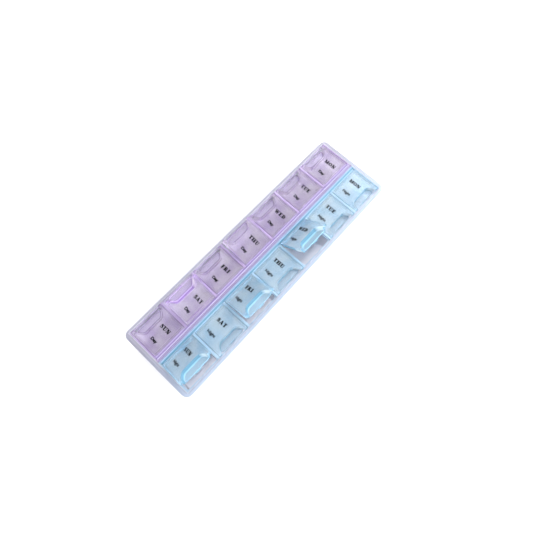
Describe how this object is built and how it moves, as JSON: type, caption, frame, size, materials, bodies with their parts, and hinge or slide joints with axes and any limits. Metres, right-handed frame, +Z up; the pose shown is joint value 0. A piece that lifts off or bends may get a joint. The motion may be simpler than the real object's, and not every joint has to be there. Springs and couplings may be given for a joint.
{
  "type": "weekly pill organizer",
  "caption": "Weekly pill organizer: a frosted tray under a row of lilac day lids and a row of pale blue night lids, each folding up on its own thin hinge over a scooped compartment",
  "frame": {"origin": "The middle of the tray's base, on the surface that it stands on.", "axes": "+X runs from the day row (lilac lids) to the night row (blue lids), +Y runs along the tray from the Sunday end to the Monday end, +Z is up."},
  "size_m": [0.062, 0.213, 0.0379],
  "materials": {
    "tray": "frosted translucent polypropylene with a faint lilac cast, satin",
    "day_lids": "translucent lilac polypropylene, smooth",
    "night_lids": "translucent pale blue polypropylene, smooth"
  },
  "bodies": {
    "tray_body": {"tray": "tray", "day_hinge_strip": "day_lids", "night_hinge_strip": "night_lids"},
    "lid_sun_day": {"lid_sun_day": "day_lids"},
    "lid_sat_day": {"lid_sat_day": "day_lids"},
    "lid_fri_day": {"lid_fri_day": "day_lids"},
    "lid_thu_day": {"lid_thu_day": "day_lids"},
    "lid_wed_day": {"lid_wed_day": "day_lids"},
    "lid_tue_day": {"lid_tue_day": "day_lids"},
    "lid_mon_day": {"lid_mon_day": "day_lids"},
    "lid_sun_night": {"lid_sun_night": "night_lids"},
    "lid_sat_night": {"lid_sat_night": "night_lids"},
    "lid_fri_night": {"lid_fri_night": "night_lids"},
    "lid_thu_night": {"lid_thu_night": "night_lids"},
    "lid_wed_night": {"lid_wed_night": "night_lids"},
    "lid_tue_night": {"lid_tue_night": "night_lids"},
    "lid_mon_night": {"lid_mon_night": "night_lids"}
  },
  "joints": [
    {"name": "sun_day_hinge", "type": "hinge", "parent": "tray_body", "child": "lid_sun_day", "pos_m": [-0.0033, -0.08794, 0.02], "axis": [0, 1, 0], "range_deg": [0, 95]},
    {"name": "sat_day_hinge", "type": "hinge", "parent": "tray_body", "child": "lid_sat_day", "pos_m": [-0.0033, -0.05863, 0.02], "axis": [0, 1, 0], "range_deg": [-43, 52]},
    {"name": "fri_day_hinge", "type": "hinge", "parent": "tray_body", "child": "lid_fri_day", "pos_m": [-0.0033, -0.02931, 0.02], "axis": [0, 1, 0], "range_deg": [0, 95]},
    {"name": "thu_day_hinge", "type": "hinge", "parent": "tray_body", "child": "lid_thu_day", "pos_m": [-0.0033, 0, 0.02], "axis": [0, 1, 0], "range_deg": [-13, 82]},
    {"name": "wed_day_hinge", "type": "hinge", "parent": "tray_body", "child": "lid_wed_day", "pos_m": [-0.0033, 0.02931, 0.02], "axis": [0, 1, 0], "range_deg": [0, 95]},
    {"name": "tue_day_hinge", "type": "hinge", "parent": "tray_body", "child": "lid_tue_day", "pos_m": [-0.0033, 0.05863, 0.02], "axis": [0, 1, 0], "range_deg": [0, 95]},
    {"name": "mon_day_hinge", "type": "hinge", "parent": "tray_body", "child": "lid_mon_day", "pos_m": [-0.0033, 0.08794, 0.02], "axis": [0, 1, 0], "range_deg": [0, 95]},
    {"name": "sun_night_hinge", "type": "hinge", "parent": "tray_body", "child": "lid_sun_night", "pos_m": [0.0033, -0.08794, 0.02], "axis": [0, -1, 0], "range_deg": [-35.5, 59.5]},
    {"name": "sat_night_hinge", "type": "hinge", "parent": "tray_body", "child": "lid_sat_night", "pos_m": [0.0033, -0.05863, 0.02], "axis": [0, -1, 0], "range_deg": [0, 95]},
    {"name": "fri_night_hinge", "type": "hinge", "parent": "tray_body", "child": "lid_fri_night", "pos_m": [0.0033, -0.02931, 0.02], "axis": [0, -1, 0], "range_deg": [-31, 64]},
    {"name": "thu_night_hinge", "type": "hinge", "parent": "tray_body", "child": "lid_thu_night", "pos_m": [0.0033, 0, 0.02], "axis": [0, -1, 0], "range_deg": [0, 95]},
    {"name": "wed_night_hinge", "type": "hinge", "parent": "tray_body", "child": "lid_wed_night", "pos_m": [0.0033, 0.02931, 0.02], "axis": [0, -1, 0], "range_deg": [-45, 50]},
    {"name": "tue_night_hinge", "type": "hinge", "parent": "tray_body", "child": "lid_tue_night", "pos_m": [0.0033, 0.05863, 0.02], "axis": [0, -1, 0], "range_deg": [0, 95]},
    {"name": "mon_night_hinge", "type": "hinge", "parent": "tray_body", "child": "lid_mon_night", "pos_m": [0.0033, 0.08794, 0.02], "axis": [0, -1, 0], "range_deg": [0, 95]}
  ]
}
